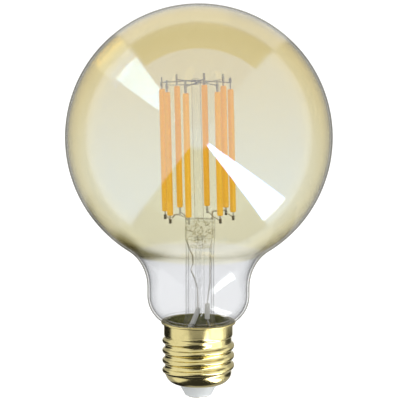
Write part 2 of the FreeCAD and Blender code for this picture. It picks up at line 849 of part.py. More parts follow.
mouth_radius = size("shell_mouth_radius").value
mouth_outer = shell_foot.value
mouth_inner = mouth_outer + wall
mouth_corner = (taper_centre, mouth_outer)
mouth_inner_corner = (taper_centre, mouth_inner)
taper_ring = turned_shape([
    (taper_point(0.0, thread_bottom), taper_middle(0.0), mouth_corner),
    (mouth_corner, None, (mouth_radius, mouth_outer)),
    ((mouth_radius, mouth_outer), None, (mouth_radius, mouth_inner)),
    ((mouth_radius, mouth_inner), None, mouth_inner_corner),
    (mouth_inner_corner, taper_middle(wall), taper_point(wall, thread_bottom)),
    (taper_point(wall, thread_bottom), None, taper_point(0.0, thread_bottom)),
])
rim_radius = size("rim_radius").value
rim_top = rim_height.value
rim_bottom = rim_top - size("rim_thickness").value
rim_round = (rim_top - rim_bottom) / 2
rim_side = rim_radius - rim_round
skirt_inside = skirt_radius - wall
skirt_ring = turned_shape([
    ((skirt_radius, thread_top), None, (skirt_radius, rim_bottom)),
    ((skirt_radius, rim_bottom), None, (rim_side, rim_bottom)),
    ((rim_side, rim_bottom), (rim_radius, rim_bottom + rim_round), (rim_side, rim_top)),
    ((rim_side, rim_top), None, (skirt_inside, rim_top)),
    ((skirt_inside, rim_top), None, (skirt_inside, thread_top)),
    ((skirt_inside, thread_top), None, (skirt_radius, thread_top)),
])
rolled = threaded_bar(0.0).cut(threaded_bar(wall))
screw_shell = rolled.fuse([taper_ring, skirt_ring], SEAM_TOLERANCE)
shape_piece("screw_shell", screw_shell)

# Cement between the seal tube and the skirt
cement_inner = seal_radius + slip_gap
cement_outer = cement_inner + size("cement_thickness")
cement_bottom = rim_height - size("cement_depth")
cement_corners = [
    (cement_inner, cement_bottom),
    (cement_outer, cement_bottom),
    (cement_outer, rim_height),
    (cement_inner, rim_height),
]
keep(turned_body("cement", cement_corners), "basing_cement")

# Insulator, held by its flange above the shell's mouth
pin_radius = size("contact_pin_radius")
face_radius = size("insulator_face_radius")
edge_round = size("insulator_rounding")
mouth = size("shell_mouth_radius") - slip_gap * 2
insulator_corners = [
    (pin_radius + slip_gap, contact_top),
    (face_radius, contact_top),
    (face_radius + edge_round, contact_top + edge_round),
    (mouth, shell_foot),
    (mouth, flange_bottom),
    (size("insulator_flange_radius"), flange_bottom),
    (size("insulator_flange_radius"), insulator_top),
    (pin_radius + slip_gap, insulator_top),
]
insulator_arcs = {1: (face_radius, contact_top + edge_round, edge_round, 1)}
keep(turned_body("insulator", insulator_corners, insulator_arcs), "cap_insulator")

# Centre contact, a riveted disc whose pin reaches the board
contact_radius = size("contact_radius")
contact_bevel = contact_top / 2
contact_corners = [
    (0, 0),
    (contact_radius - contact_bevel, 0),
    (contact_radius, contact_bevel),
    (contact_radius, contact_top),
    (pin_radius, contact_top),
    (pin_radius, board_bottom),
    (0, board_bottom),
]
contact_arcs = {1: (contact_radius - contact_bevel, contact_bevel, contact_bevel, 1)}
keep(turned_body("contact", contact_corners, contact_arcs), "centre_contact")

# Driver board, seated in the shell's taper, and what stands on it
board = new_body("board")
inner_taper = size("taper_radius") - size("shell_wall")
taper_middle_radius = size("thread_root_radius") - size("taper_radius")
board_radius = taper_middle_radius + leg(inner_taper, taper_height - board_bottom) - slip_gap
padded_circle(board, "board_disc", board_radius, board_bottom, size("board_thickness"))
keep(board, "circuit_board")

# Places on the board, across and back as shares of its radius
RECTIFIER_PLACE = (0.0, 0.6)
CHIP_PLACE = (0.055, -0.635)
CAPACITOR_PLACE = (-0.57, 0.36)
RESISTOR_PLACE = (0.6, 0.345)
SHELL_WIRE_ANGLE = 245.0


def on_board(place):
    """A place on the board, seen from above."""
    return tuple(share * board_radius.value for share in place)


keep(block("rectifier", size("rectifier_length"), size("rectifier_width"), size("rectifier_height"),
           on_board(RECTIFIER_PLACE), board_top), "bridge_rectifier")
keep(block("chip", size("chip_length"), size("chip_width"), size("chip_height"),
           on_board(CHIP_PLACE), board_top), "driver_chip")

capacitor = new_body("capacitor")
can = padded_circle(capacitor, "capacitor_can", size("capacitor_radius"), board_top, size("capacitor_height"))
round_rims(capacitor, can, "capacitor_rims", size("capacitor_radius") / 8)
capacitor.Placement = FreeCAD.Placement(FreeCAD.Vector(*on_board(CAPACITOR_PLACE), 0), FreeCAD.Rotation())
keep(capacitor, "filter_capacitor")

resistor_radius = size("resistor_radius").value
resistor_half = size("resistor_length").value / 2
leg_radius = size("resistor_lead_radius").value
lift = board_top.value + resistor_radius + slip_gap.value
leg_reach = resistor_half + leg_radius * 2
middle = FreeCAD.Vector(*on_board(RESISTOR_PLACE), lift)
along = FreeCAD.Vector(0, 1, 0)
core = Part.makeCylinder(resistor_radius, resistor_half * 2, middle - along * resistor_half, along)
core = core.makeFillet(resistor_radius / 3, core.Edges[0:1] + core.Edges[2:3])
legs = []
for way in (-1, 1):
    out = middle + along * (way * leg_reach)
    foot = FreeCAD.Vector(out.x, out.y, board_top.value)
    legs.append(round_bar([middle, out, foot], leg_radius, leg_radius * 1.5))
shape_piece("fusible_resistor", core.fuse(legs))

shell_wire_radius = size("shell_wire_radius").value
wire_rise = size("shell_wire_rise").value
wall_reach = root_radius - wall - shell_wire_radius - slip_gap.value
board_reach = board_radius.value - shell_wire_radius * 3
turn_to = math.radians(SHELL_WIRE_ANGLE)
outward = FreeCAD.Vector(math.cos(turn_to), math.sin(turn_to), 0)
up = FreeCAD.Vector(0, 0, 1)
shell_wire_route = [
    outward * board_reach + up * board_top.value,
    outward * board_reach + up * (board_top.value + wire_rise),
    outward * wall_reach + up * (board_top.value + wire_rise * 2.25),
    outward * wall_reach + up * (board_top.value + wire_rise * 4.5),
]
shape_piece("shell_wire", round_bar(shell_wire_route, shell_wire_radius, lead_bend))

doc.recompute()
for thing in doc.Objects:
    if "Invalid" in thing.State or "Error" in thing.State:
        raise RuntimeError(f"{thing.Name} failed: {thing.State}")
for piece in pieces:
    if piece.Shape.isNull() or not piece.Shape.isValid() or not piece.Shape.Solids:
        raise RuntimeError(f"{piece.Label} is not a valid solid")

os.makedirs("parts", exist_ok=True)
for piece in pieces:
    piece.Shape.exportStep(f"parts/{piece.Label}.step")
    print(piece.Label, len(piece.Shape.Solids), "solids", round(piece.Shape.Volume, 2), "cubic mm")
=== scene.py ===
"""Looks of the globe lamp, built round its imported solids."""

import logging
import math
from collections.abc import Callable
from dataclasses import dataclass, field
from enum import Enum

import bmesh
import bpy
from mathutils import Matrix, Vector


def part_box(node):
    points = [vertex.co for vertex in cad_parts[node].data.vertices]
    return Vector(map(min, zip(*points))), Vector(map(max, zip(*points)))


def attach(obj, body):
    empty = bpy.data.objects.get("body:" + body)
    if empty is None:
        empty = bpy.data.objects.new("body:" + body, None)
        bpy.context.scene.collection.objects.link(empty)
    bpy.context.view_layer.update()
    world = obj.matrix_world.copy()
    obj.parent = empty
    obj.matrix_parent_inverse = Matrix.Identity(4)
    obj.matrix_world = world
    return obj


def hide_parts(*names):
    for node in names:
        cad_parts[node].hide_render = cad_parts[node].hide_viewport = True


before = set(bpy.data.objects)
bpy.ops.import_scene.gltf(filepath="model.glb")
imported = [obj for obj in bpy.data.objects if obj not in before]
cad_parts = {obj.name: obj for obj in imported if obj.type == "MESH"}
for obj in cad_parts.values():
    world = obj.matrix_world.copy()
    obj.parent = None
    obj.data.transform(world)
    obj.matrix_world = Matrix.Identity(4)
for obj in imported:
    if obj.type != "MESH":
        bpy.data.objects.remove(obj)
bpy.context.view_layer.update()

LOG = logging.getLogger("globe_lamp")
Socket = bpy.types.NodeSocket
Colour = tuple[float, float, float]
Spot = tuple[float, float, float]
# where a soft step begins and where it is complete, or another pair of numbers
Span = tuple[float, float]
# the step that opens a soft window and the step that closes it
Window = tuple[Span, Span]
MM = 0.001
# two places closer than this, in metres, are one
NEAR = 0.000001
UP: Spot = (0.0, 0.0, 1.0)
WHITE: Colour = (1.0, 1.0, 1.0)


class Ray(Enum):
    """Kinds of ray that a finish may tell apart."""

    CAMERA = "Is Camera Ray"
    SHADOW = "Is Shadow Ray"
    GLOSSY = "Is Glossy Ray"
    DIFFUSE = "Is Diffuse Ray"
    WALLS_PASSED = "Transparent Depth"


class Shader(Enum):
    """The shaders that the finishes are made of."""

    CLEAR = "ShaderNodeBsdfTransparent"
    MIRROR = "ShaderNodeBsdfGlossy"
    GLASS = "ShaderNodeBsdfGlass"
    MATT = "ShaderNodeBsdfDiffuse"
    SKIN = "ShaderNodeBsdfPrincipled"
    GLOW = "ShaderNodeEmission"
    SKY = "ShaderNodeBackground"


class Element(Enum):
    """What can be selected on a mesh in edit mode."""

    VERT = "VERT"
    EDGE = "EDGE"
    FACE = "FACE"


class Web:
    """A node tree under construction."""

    def __init__(self, tree: bpy.types.NodeTree) -> None:
        """Takes a material's or the world's tree and empties it."""
        self.tree = tree
        tree.nodes.clear()

    def node(self, kind: str, **inputs: object) -> bpy.types.Node:
        """Adds a node and sets or links its inputs.

        Args:
            kind: The node's type name.
            **inputs: Values or sockets, by input name with _ for a space.

        Returns:
            The new node.
        """
        made = self.tree.nodes.new(kind)
        for name, value in inputs.items():
            self.feed(made.inputs[name.replace("_", " ")], value)
        return made

    def feed(self, socket: Socket, value: object) -> None:
        """Links a socket, or sets its own value.

        Args:
            socket: The input socket.
            value: Another node's socket, a number or a colour.
        """
        if isinstance(value, bpy.types.NodeSocket):
            self.tree.links.new(value, socket)
        elif isinstance(value, tuple) and len(value) == 3 and socket.type == "RGBA":
            socket.default_value = (*value, 1.0)
        else:
            socket.default_value = value

    def math(self, operation: str, *values: object) -> Socket:
        """Adds a Math node.

        Args:
            operation: The Math node's operation.
            *values: Its inputs, numbers or sockets.

        Returns:
            The result's socket.
        """
        made = self.tree.nodes.new("ShaderNodeMath")
        made.operation = operation
        for socket, value in zip(made.inputs, values):
            self.feed(socket, value)
        return made.outputs[0]

    def times(self, *factors: object) -> Socket:
        """The product of two or more numbers or sockets.

        Args:
            *factors: What is multiplied.

        Returns:
            The product's socket.
        """
        result = factors[0]
        for factor in factors[1:]:
            result = self.math("MULTIPLY", result, factor)
        return result

    def dot(self, vector: Socket, axis: Vector) -> Socket:
        """The length of a vector along an axis.

        Args:
            vector: The vector.
            axis: A direction of length 1.

        Returns:
            The length's socket.
        """
        made = self.tree.nodes.new("ShaderNodeVectorMath")
        made.operation = "DOT_PRODUCT"
        self.feed(made.inputs[0], vector)
        made.inputs[1].default_value = axis
        return made.outputs["Value"]

    def step(self, value: object, start: float, end: float, low: float = 0.0,
             high: float = 1.0) -> Socket:
        """A soft step from low to high as value goes from start to end.

        Args:
            value: The number or socket that is followed.
            start: Where the step begins; may lie above end.
            end: Where it is complete.
            low: The result before the step.
            high: The result after it.

        Returns:
            The result's socket.
        """
        made = self.tree.nodes.new("ShaderNodeMapRange")
        made.interpolation_type = "SMOOTHSTEP"
        limits = (end, start, high, low) if start > end else (start, end, low, high)
        self.feed(made.inputs["Value"], value)
        for name, number in zip(("From Min", "From Max", "To Min", "To Max"), limits):
            made.inputs[name].default_value = number
        return made.outputs["Result"]

    def window(self, value: object, opens: Span, closes: Span) -> Socket:
        """1 where a number lies in a window with soft sides, 0 elsewhere."""
        return self.times(self.step(value, *opens), self.step(value, *closes))

    def rest(self, value: object) -> Socket:
        """What a share leaves of 1."""
        return self.math("SUBTRACT", 1.0, value)

    def blend(self, share: object, first: object, second: object) -> Socket:
        """Lays a colour over another.

        Args:
            share: How much of the second shows.
            first: The colour below.
            second: The colour above.

        Returns:
            The colour's socket.
        """
        made = self.tree.nodes.new("ShaderNodeMix")
        made.data_type = "RGBA"
        self.feed(made.inputs[0], share)
        self.feed(made.inputs[6], first)
        self.feed(made.inputs[7], second)
        return made.outputs[2]

    def ray(self, kind: Ray) -> Socket:
        """Whether the ray is of this kind."""
        return self.node("ShaderNodeLightPath").outputs[kind.value]

    def place(self, scale: Spot = (1.0, 1.0, 1.0)) -> Socket:
        """The point on the piece.

        Args:
            scale: What each of its coordinates is multiplied by.

        Returns:
            The point's socket, in metres.
        """
        spot = self.node("ShaderNodeTexCoord").outputs["Object"]
        mapping = self.node("ShaderNodeMapping", Vector=spot)
        mapping.inputs["Scale"].default_value = scale
        return mapping.outputs["Vector"]

    def along(self, axis: str) -> Socket:
        """The point's distance from the origin along X, Y or Z, in millimetres."""
        split = self.node("ShaderNodeSeparateXYZ", Vector=self.place())
        return self.math("MULTIPLY", split.outputs[axis], 1.0 / MM)

    def noise(self, scale: float, detail: float = 3.0, stretch: Spot = (1.0, 1.0, 1.0)) -> Socket:
        """A cloudy value from 0 to 1.

        Args:
            scale: Spots per metre.
            detail: Finer layers.
            stretch: How the pattern is squeezed along each axis.

        Returns:
            The value's socket.
        """
        spot = self.place(stretch)
        made = self.node("ShaderNodeTexNoise", Vector=spot, Scale=scale, Detail=detail)
        return made.outputs["Fac"]

    def bump(self, height: Socket, depth: float, strength: float = 0.5) -> Socket:
        """A normal from a height pattern, depth in metres."""
        made = self.node("ShaderNodeBump", Height=height, Distance=depth, Strength=strength)
        return made.outputs["Normal"]

    def facing(self) -> Socket:
        """0 where a surface is seen square on, from either side, and 1 where it is edge on."""
        return self.node("ShaderNodeLayerWeight", Blend=0.5).outputs["Facing"]

    def shader(self, kind: Shader, **inputs: object) -> Socket:
        """Adds a shader with its inputs."""
        return self.node(kind.value, **inputs).outputs[0]

    def thin_glass(self, square_on: object, colour: object, gloss: object,
                   roughness: float = 0.0) -> Socket:
        """A thin glass skin, which mirrors more by the fifth power of how edge on it is seen.

        Args:
            square_on: The share that it mirrors when it is seen square on.
            colour: What it does to the light that goes through.
            gloss: What it does to the light that it mirrors.
            roughness: How blurred that light is.

        Returns:
            The skin's shader.
        """
        clear = self.shader(Shader.CLEAR, Color=colour)
        mirror = self.shader(Shader.MIRROR, Color=gloss, Roughness=roughness)
        steep = self.math("POWER", self.facing(), 5.0)
        share = self.math("MULTIPLY_ADD", steep, self.rest(square_on), square_on)
        return self.mix(share, clear, mirror)

    def surface(self, shader: Socket) -> None:
        """Sends a shader to the material's output."""
        output = self.tree.nodes.new("ShaderNodeOutputMaterial")
        self.tree.links.new(shader, output.inputs["Surface"])

    def mix(self, share: object, first: Socket, second: Socket) -> Socket:
        """Mixes two shaders.

        Args:
            share: How much of the second counts.
            first: A shader.
            second: Another.

        Returns:
            The mixed shader.
        """
        made = self.tree.nodes.new("ShaderNodeMixShader")
        self.feed(made.inputs[0], share)
        self.tree.links.new(first, made.inputs[1])
        self.tree.links.new(second, made.inputs[2])
        return made.outputs[0]

    def add(self, first: Socket, second: Socket) -> Socket:
        """Adds the light of two shaders.

        Args:
            first: A shader.
            second: Another.

        Returns:
            Both together.
        """
        made = self.tree.nodes.new("ShaderNodeAddShader")
        self.tree.links.new(first, made.inputs[0])
        self.tree.links.new(second, made.inputs[1])
        return made.outputs[0]


@dataclass(frozen=True)
class Finish:
    """A finish that builds one material."""

    name: str

    def material(self) -> bpy.types.Material:
        """The finish's material, made once.

        Returns:
            The material.
        """
        found = bpy.data.materials.get(self.name)
        if found:
            return found
        made = bpy.data.materials.new(self.name)
        made.use_nodes = True
        self.weave(Web(made.node_tree))
        return made

    def weave(self, web: Web) -> None:
        """Builds the material's nodes in its empty tree."""
        raise NotImplementedError


@dataclass(frozen=True)
class OutsideGlass(Finish):
    """The globe's outer skin: clear, glossy, darker where it is seen edge on."""

    square_on: float = 0.03
    body: Colour = (0.985, 0.985, 0.985)
    edge: Colour = (0.46, 0.45, 0.40)
    edge_facing: Span = (0.74, 0.92)
    mirror: Colour = (0.98, 0.98, 0.97)
    edge_mirror: Colour = (0.39, 0.38, 0.335)
    fused_height: Span = (29.6, 29.0)

    def weave(self, web: Web) -> None:
        """Builds glass that mirrors as glass does, duller where it is fused to the stem.

        Args:
            web: The material's empty tree.
        """
        fused = web.step(web.along("Z"), *self.fused_height)
        rim = web.step(web.facing(), *self.edge_facing)
        shine = web.blend(web.math("MAXIMUM", rim, fused), self.mirror, self.edge_mirror)
        web.surface(web.thin_glass(self.square_on, web.blend(rim, self.body, self.edge), shine))


@dataclass(frozen=True)
class CoatedGlass(Finish):
    """The globe's inner skin: amber coating on the globe, bare glass at the neck."""

    coat_height: Span = (52.3, 53.9)
    ragged_scale: float = 60.0
    crown: Colour = (0.985, 0.895, 0.60)
    belly: Colour = (0.974, 0.945, 0.768)
    crown_height: Span = (70.0, 128.0)
    deep: Colour = (0.42, 0.37, 0.18)
    deep_facing: Span = (0.8, 1.0)
    deep_share: float = 0.6
    # painted shade: darker olive on the coating's lower sides where it is seen edge on, more on the
    # left
    painted_shade: Colour = (0.33, 0.30, 0.15)
    painted_shade_height: Span = (62.0, 55.5)
    painted_shade_facing: Span = (0.53, 0.76)
    painted_shade_side: Span = (10.0, -20.0)
    painted_shade_shares: Span = (0.4, 1.0)
    bare: Colour = (0.83, 0.835, 0.845)
    sheen: Colour = (0.17, 0.37, 0.90)
    grazing_sheen: Colour = (0.80, 0.76, 0.62)
    sheen_facing: Span = (0.3, 0.72)
    bare_shine: Colour = (0.95, 0.97, 1.0)
    fused_shine: Colour = (0.30, 0.29, 0.26)
    fused_height: Span = (30.3, 29.8)
    dull_facing: Span = (0.62, 0.86)
    dull_shares: Span = (0.0, 0.75)
    bare_mirror: float = 0.012
    coat_mirror: float = 0.2

    def weave(self, web: Web) -> None:
        """Builds the coating with its soft lower edge, and painted shade low on its sides.

        Args:
            web: The material's empty tree.
        """
        height = web.along("Z")
        ragged = web.math("ADD", height, web.noise(self.ragged_scale, 1.0))
        coated = web.step(ragged, *self.coat_height)
        facing = web.facing()
        tint = web.blend(web.step(height, *self.crown_height), self.belly, self.crown)
        rim = web.times(web.step(facing, *self.deep_facing), self.deep_share)
        # Painted shade: low on its sides, where it is seen edge on, the coating turns darker olive,
        # fully on the left and at 0.4 on the right.
        shade_mask = web.times(web.step(height, *self.painted_shade_height), web.step(facing, *self.painted_shade_facing),
                         web.step(web.along("X"), *self.painted_shade_side, *self.painted_shade_shares))
        amber = web.blend(shade_mask, web.blend(rim, tint, self.deep), self.painted_shade)
        colour = web.blend(coated, self.bare, amber)
        sheen = web.blend(web.step(facing, *self.sheen_facing), self.sheen, self.grazing_sheen)
        dull = web.math("MAXIMUM", web.step(height, *self.fused_height),
                        web.step(facing, *self.dull_facing, *self.dull_shares))
        bare_shine = web.blend(dull, self.bare_shine, self.fused_shine)
        gloss = web.blend(coated, bare_shine, sheen)
        gain = self.coat_mirror - self.bare_mirror
        square_on = web.math("MULTIPLY_ADD", coated, gain, self.bare_mirror)
        web.surface(web.thin_glass(square_on, colour, gloss))


@dataclass(frozen=True)
class StemGlass(Finish):
    """Drawn lamp glass: clear with grey edges, and bending what is behind it at the pinch."""

    body: Colour = (0.985, 0.985, 0.985)
    edge: Colour = (0.56, 0.56, 0.53)
    edge_start: float = 0.6
    edge_end: float = 0.98
    square_on: float = 0.02
    blur: float = 0.02
    pinch_foot: Span = (55.5, 57.5)
    pinch_top: Span = (65.4, 65.1)
    bending: float = 0.10
    bent_colour: Colour = (0.97, 0.97, 0.95)
    index: float = 1.45
    wave_scale: float = 330.0
    wave_depth: float = 0.0004
    fold: Colour = (0.70, 0.67, 0.55)
    fold_level: float = 0.52
    fold_width: Span = (0.028, 0.004)
    roof_foot: Span = (52.8, 53.8)
    roof_top: Span = (58.0, 56.5)
    roof_relief: float = 0.75
    lamp_light: Colour = (0.93, 0.93, 0.91)

    def weave(self, web: Web) -> None:
        """Builds thin glass, with bent light and folds where the tube is pinched.

        Args:
            web: The material's empty tree.
        """
        height = web.along("Z")
        pinched = web.window(height, self.pinch_foot, self.pinch_top)
        waves = web.noise(self.wave_scale, 1.0)
        off_fold = web.math("ABSOLUTE", web.math("SUBTRACT", waves, self.fold_level))
        folded = web.times(pinched, web.step(off_fold, *self.fold_width))
        roof = web.window(height, self.roof_foot, self.roof_top)
        rim = web.times(web.step(web.facing(), self.edge_start, self.edge_end),
                        web.math("MULTIPLY_ADD", roof, -self.roof_relief, 1.0))
        body = web.blend(folded, self.body, self.fold)
        thin = web.thin_glass(self.square_on, web.blend(rim, body, self.edge), WHITE, self.blur)
        solid = web.shader(Shader.GLASS, Color=self.bent_colour, IOR=self.index, Roughness=0.0,
                           Normal=web.bump(waves, self.wave_depth))
        bent = web.mix(web.times(pinched, self.bending), thin, solid)
        pass_lamps = web.shader(Shader.CLEAR, Color=self.lamp_light)
        web.surface(web.mix(web.ray(Ray.SHADOW), bent, pass_lamps))


@dataclass(frozen=True)
class Phosphor(Finish):
    """Phosphor silicone over a row of chips: matt, a little translucent, with a faint painted glow
    of its own colour.
    """

    colour: Colour = (0.97, 0.61, 0.075)
    deep: Colour = (0.90, 0.46, 0.035)
    # painted light: the unlit silicone glows faintly in its own colour
    glow: float = 0.17
    chip_pitch: float = 1.55
    chip_share: float = 0.18
    cloud_share: float = 0.5
    cloud_scale: float = 700.0
    depth: float = 0.00002
    scatter: Colour = (1.0, 0.5, 0.15)

    def weave(self, web: Web) -> None:
        """Builds the silicone with faint chip marks along it, and a faint painted glow.

        Args:
            web: The material's empty tree.
        """
        phase = web.times(web.along("Z"), 2.0 * math.pi / self.chip_pitch)
        chips = web.math("MULTIPLY_ADD", web.math("COSINE", phase), 0.5, 0.5)
        cloud = web.noise(self.cloud_scale)
        share = web.math("MULTIPLY_ADD", chips, self.chip_share, web.times(cloud, self.cloud_share))
        colour = web.blend(share, self.colour, self.deep)
        # Painted light: the emission makes the unlit silicone glow faintly in its own colour.
        web.surface(web.shader(Shader.SKIN, Base_Color=colour, Roughness=0.42, IOR=1.41,
                               Subsurface_Weight=0.15, Subsurface_Scale=0.0008,
                               Subsurface_Radius=self.scatter, Coat_Weight=0.12,
                               Coat_Roughness=0.3, Emission_Color=colour,
                               Emission_Strength=self.glow,
                               Normal=web.bump(cloud, self.depth, 0.6)))


@dataclass(frozen=True)
class Metal(Finish):
    """Bare metal with drawing marks and a cloudy tarnish."""

    colour: Colour
    tarnish: Colour
    amount: float = 0.4
    roughness: float = 0.28
    spread: float = 0.12
    marks: Spot = (1.0, 1.0, 0.08)
    cloud: float = 1500.0
    cloud_share: Span = (0.45, 0.75)
    depth: float = 0.000004

    def weave(self, web: Web) -> None:
        """Builds the metal with its marks finer than its tarnish.

        Args:
            web: The material's empty tree.
        """
        cloud = web.noise(self.cloud, 4.0)
        share = web.times(web.step(cloud, *self.cloud_share), self.amount)
        colour = web.blend(share, self.colour, self.tarnish)
        lines = web.noise(self.cloud * 8.0, 2.0, self.marks)
        rough = web.math("MULTIPLY_ADD", lines, self.spread, self.roughness - self.spread / 2)
        web.surface(web.shader(Shader.SKIN, Base_Color=colour, Metallic=1.0, Roughness=rough,
                               Normal=web.bump(lines, self.depth)))


@dataclass(frozen=True)
class Moulding(Finish):
    """Moulded, lacquered or cast material with a fine grain."""

    colour: Colour
    second: Colour
    roughness: float = 0.4
    grain: float = 1500.0
    grain_share: Span = (0.35, 0.7)
    depth: float = 0.00001
    coat: float = 0.0

    def weave(self, web: Web) -> None:
        """Builds the material's grain and colour.

        Args:
            web: The material's empty tree.
        """
        grain = web.noise(self.grain, 4.0)
        colour = web.blend(web.step(grain, *self.grain_share), self.colour, self.second)
        web.surface(web.shader(Shader.SKIN, Base_Color=colour, Roughness=self.roughness,
                               Coat_Weight=self.coat, Coat_Roughness=0.12,
                               Normal=web.bump(grain, self.depth)))


@dataclass(frozen=True)
class WovenSleeve(Finish):
    """Braided glass fibre."""

    colour: Colour
    shade: Colour
    thread: float = 0.35
    depth: float = 0.00006

    def weave(self, web: Web) -> None:
        """Builds a braid of two crossing threads.

        Args:
            web: The material's empty tree.
        """
        split = web.node("ShaderNodeSeparateXYZ", Vector=web.place())
        turns = 2.0 * math.pi / (self.thread * MM)
        up, across = [web.times(split.outputs[axis], turns) for axis in ("Z", "X")]
        one = web.math("SINE", web.math("ADD", up, across))
        other = web.math("SINE", web.math("SUBTRACT", up, across))
        braid = web.math("MULTIPLY_ADD", web.math("MAXIMUM", one, other), 0.5, 0.5)
        colour = web.blend(braid, self.shade, self.colour)
        web.surface(web.shader(Shader.SKIN, Base_Color=colour, Roughness=0.75,
                               Normal=web.bump(braid, self.depth, 0.8)))


@dataclass(frozen=True)
class FloorPaper(Finish):
    """A pale paper floor, which the camera sees as near white."""

    colour: Colour = (0.86, 0.86, 0.86)
    second: Colour = (0.8, 0.8, 0.8)
    grain_scale: float = 300.0
    grain_share: float = 0.1
    lift: float = 0.4

    def weave(self, web: Web) -> None:
        """Builds the paper, with a little light of its own for the camera.

        Args:
            web: The material's empty tree.
        """
        grain = web.times(web.noise(self.grain_scale, 4.0), self.grain_share)
        paper = web.shader(Shader.MATT, Color=web.blend(grain, self.colour, self.second))
        lift = web.times(web.ray(Ray.CAMERA), self.lift)
        web.surface(web.add(paper, web.shader(Shader.GLOW, Color=WHITE, Strength=lift)))


@dataclass(frozen=True)
class CardFace(Finish):
    """A studio card's glow, fading to nothing at its edges; behind a wall of glass it is clear."""

    level: float
    adds: bool
    fade: Span = (0.5, 0.34)

    def weave(self, web: Web) -> None:
        """Builds a face that adds its light to what is behind it, or one that covers it.

        Args:
            web: The material's empty tree.
        """
        split = web.node("ShaderNodeSeparateXYZ", Vector=web.place())
        shown = web.math("LESS_THAN", web.ray(Ray.WALLS_PASSED), 0.5)
        for axis in ("X", "Y"):
            off = web.math("ABSOLUTE", split.outputs[axis])
            shown = web.times(shown, web.step(off, *self.fade))
        clear = web.shader(Shader.CLEAR, Color=WHITE)
        strength = web.times(shown, self.level) if self.adds else self.level
        glow = web.shader(Shader.GLOW, Color=WHITE, Strength=strength)
        web.surface(web.add(clear, glow) if self.adds else web.mix(shown, clear, glow))


OUTSIDE_GLASS = OutsideGlass("globe_outside")
COATED_GLASS = CoatedGlass("globe_coating")
BUBBLE_GLASS = StemGlass("bubble_glass", edge=(0.22, 0.21, 0.15), edge_start=0.45, bending=0.0,
                         fold=(0.985, 0.985, 0.985))
STEM_GLASS = StemGlass("stem_glass")
ROD_GLASS = StemGlass("rod_glass", edge=(0.36, 0.26, 0.12), edge_start=0.5)
PHOSPHOR = Phosphor("phosphor_silicone")
# Welds below a height get the darker weld finish, those above it the paler one.
WELD = Metal("darker_weld", (0.30, 0.28, 0.24), (0.14, 0.12, 0.09), amount=0.7, roughness=0.45)
PALE_WELD = Metal("pale_weld", (0.66, 0.64, 0.60), (0.38, 0.35, 0.30), amount=0.6, roughness=0.4)
WIRE = Metal("nickel_wire", (0.70, 0.68, 0.64), (0.36, 0.33, 0.28), amount=0.5)
BRASS = Metal("rolled_brass", (0.76, 0.66, 0.31), (0.52, 0.43, 0.18), roughness=0.19,
              spread=0.08, marks=(0.2, 0.2, 3.0), cloud=250.0)
CONTACT = Metal("contact_metal", (0.78, 0.74, 0.6), (0.5, 0.44, 0.3), roughness=0.3, cloud=400.0)
INSULATOR = Moulding("cap_insulator", (0.50, 0.53, 0.56), (0.45, 0.48, 0.515), roughness=0.25,
                     coat=0.3)
CEMENT = Moulding("basing_cement", (0.34, 0.33, 0.10), (0.13, 0.125, 0.04), roughness=0.85,
                  depth=0.00008)
BOARD = Moulding("board_laminate", (0.12, 0.26, 0.13), (0.09, 0.2, 0.1), roughness=0.35, coat=0.4)
BLACK = Moulding("black_moulding", (0.03, 0.03, 0.032), (0.045, 0.045, 0.045), roughness=0.5)
CAN = Moulding("capacitor_skin", (0.06, 0.07, 0.11), (0.05, 0.06, 0.09), roughness=0.3, coat=0.3)
LACQUER = Moulding("resistor_lacquer", (0.24, 0.36, 0.32), (0.2, 0.3, 0.27), coat=0.2)
GREY_SLEEVE = WovenSleeve("grey_fibre", colour=(0.74, 0.74, 0.73), shade=(0.52, 0.52, 0.51))
WHITE_SLEEVE = WovenSleeve("white_fibre", colour=(0.85, 0.84, 0.8), shade=(0.62, 0.61, 0.58))


